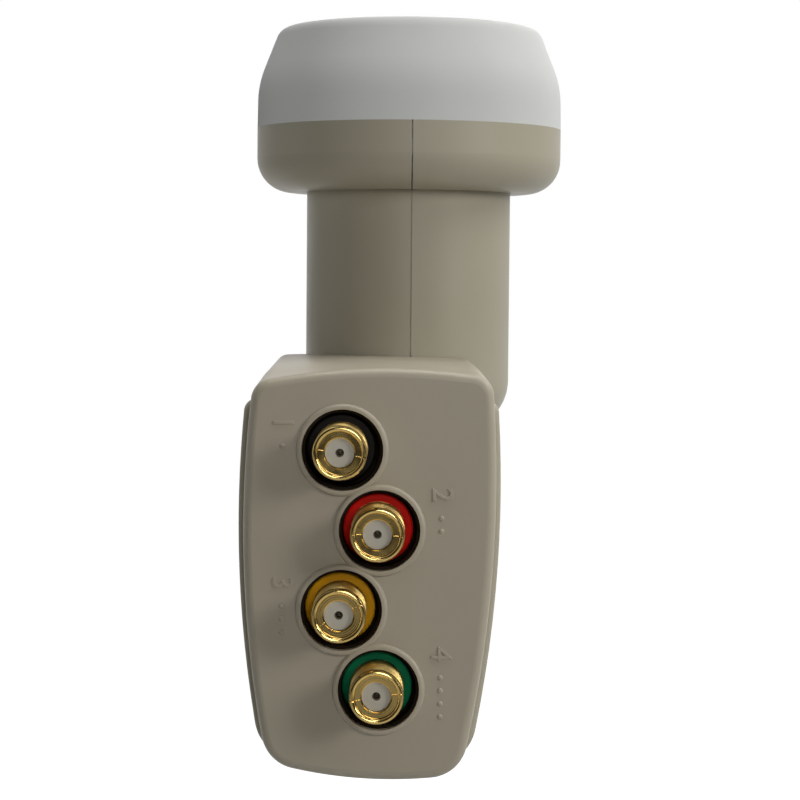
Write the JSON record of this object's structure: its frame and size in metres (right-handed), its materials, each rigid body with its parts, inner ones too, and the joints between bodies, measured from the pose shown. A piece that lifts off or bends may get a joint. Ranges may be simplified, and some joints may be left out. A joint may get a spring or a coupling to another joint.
{
  "type": "satellite LNB",
  "caption": "Satellite feed converter with a capped round horn, a clampable neck and an offset body whose rear cover carries a zigzag column of threaded gold ports with coloured rings.",
  "frame": {"origin": "on the neck's axis, half-way along the part of the neck that the clamp holds", "axes": "+Z along the neck towards the feed cap, -Y the way the ports face, +X to the right seen from the port side"},
  "size_m": [0.0605, 0.0893, 0.1386],
  "materials": {
    "cap_plastic": "smooth satin",
    "shell_plastic": "smooth satin",
    "cover_plastic": "smooth satin",
    "rubber": "matte",
    "cast_alloy": "as cast",
    "brass": "turned",
    "gold_plate": "gold plated, bright",
    "steel": "zinc plated",
    "white_plastic": "waxy",
    "board": "solder mask",
    "puck_ceramic": "fired ceramic",
    "ring_black": "satin",
    "ring_red": "satin",
    "ring_yellow": "satin",
    "ring_green": "satin"
  },
  "bodies": {
    "root": {"feed_cap": "cap_plastic", "cap_seal": "rubber", "left_shell": "shell_plastic", "right_shell": "shell_plastic", "connector_cover": "cover_plastic", "horn_casting": "cast_alloy", "isolation_pin": "brass", "vertical_probe": "brass", "horizontal_probe": "brass", "vertical_probe_bush": "white_plastic", "horizontal_probe_bush": "white_plastic", "circuit_board": "board", "resonators": "puck_ceramic", "lid_seal": "rubber", "rear_lid": "cast_alloy", "tuning_screws": "brass", "lid_screws": "steel", "connector_gasket": "rubber", "ring_black": "ring_black", "connector_black": "gold_plate", "insulator_black": "white_plastic", "contact_black": "brass", "ring_red": "ring_red", "connector_red": "gold_plate", "insulator_red": "white_plastic", "contact_red": "brass", "ring_yellow": "ring_yellow", "connector_yellow": "gold_plate", "insulator_yellow": "white_plastic", "contact_yellow": "brass", "ring_green": "ring_green", "connector_green": "gold_plate", "insulator_green": "white_plastic", "contact_green": "brass"}
  },
  "joints": []
}
